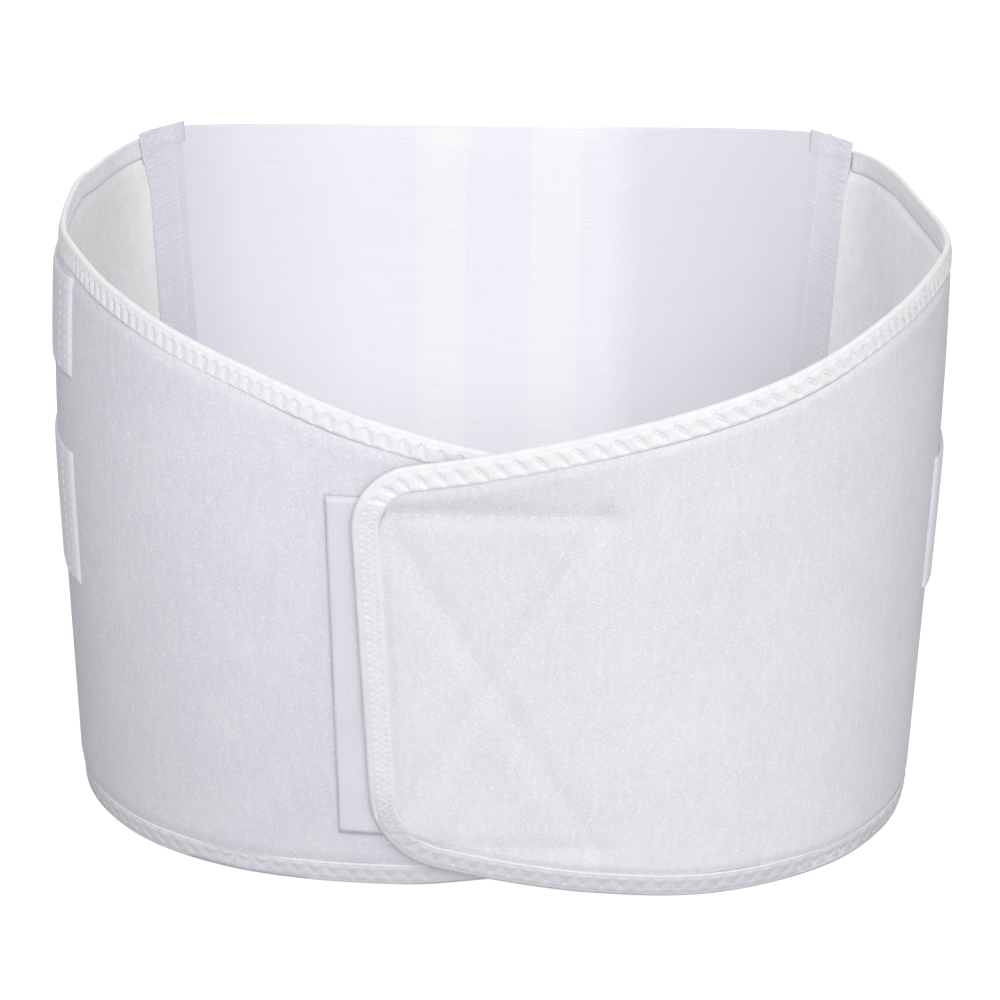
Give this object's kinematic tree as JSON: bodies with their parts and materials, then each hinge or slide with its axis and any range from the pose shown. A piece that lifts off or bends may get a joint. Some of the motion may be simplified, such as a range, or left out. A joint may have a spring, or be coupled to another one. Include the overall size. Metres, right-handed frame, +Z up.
{
  "type": "lumbosacral brace",
  "caption": "White lumbosacral brace standing as a closed band: elastic back with stay channels, plush foam panels with bound edges, a hook-and-loop front flap and outer straps.",
  "frame": {"origin": "middle of the brace's box, on the surface that it stands on", "axes": "+Z up, the front closure faces -Y, +X to the right of someone who looks at the front"},
  "size_m": [0.3602, 0.297, 0.2375],
  "materials": {
    "elastic": "white ribbed elastic",
    "plush": "white brushed loop plush on foam",
    "tape": "white folded knit tape",
    "hooks": "white hook tape"
  },
  "bodies": {
    "root": {"back_panel": "elastic", "under_panel": "plush", "over_panel": "plush", "under_binding": "tape", "over_binding": "tape", "left_seam_tape": "tape", "right_seam_tape": "tape", "left_stay_casing": "elastic", "right_stay_casing": "elastic", "hook_patch": "hooks", "upper_strap": "elastic", "lower_strap": "elastic"}
  },
  "joints": []
}
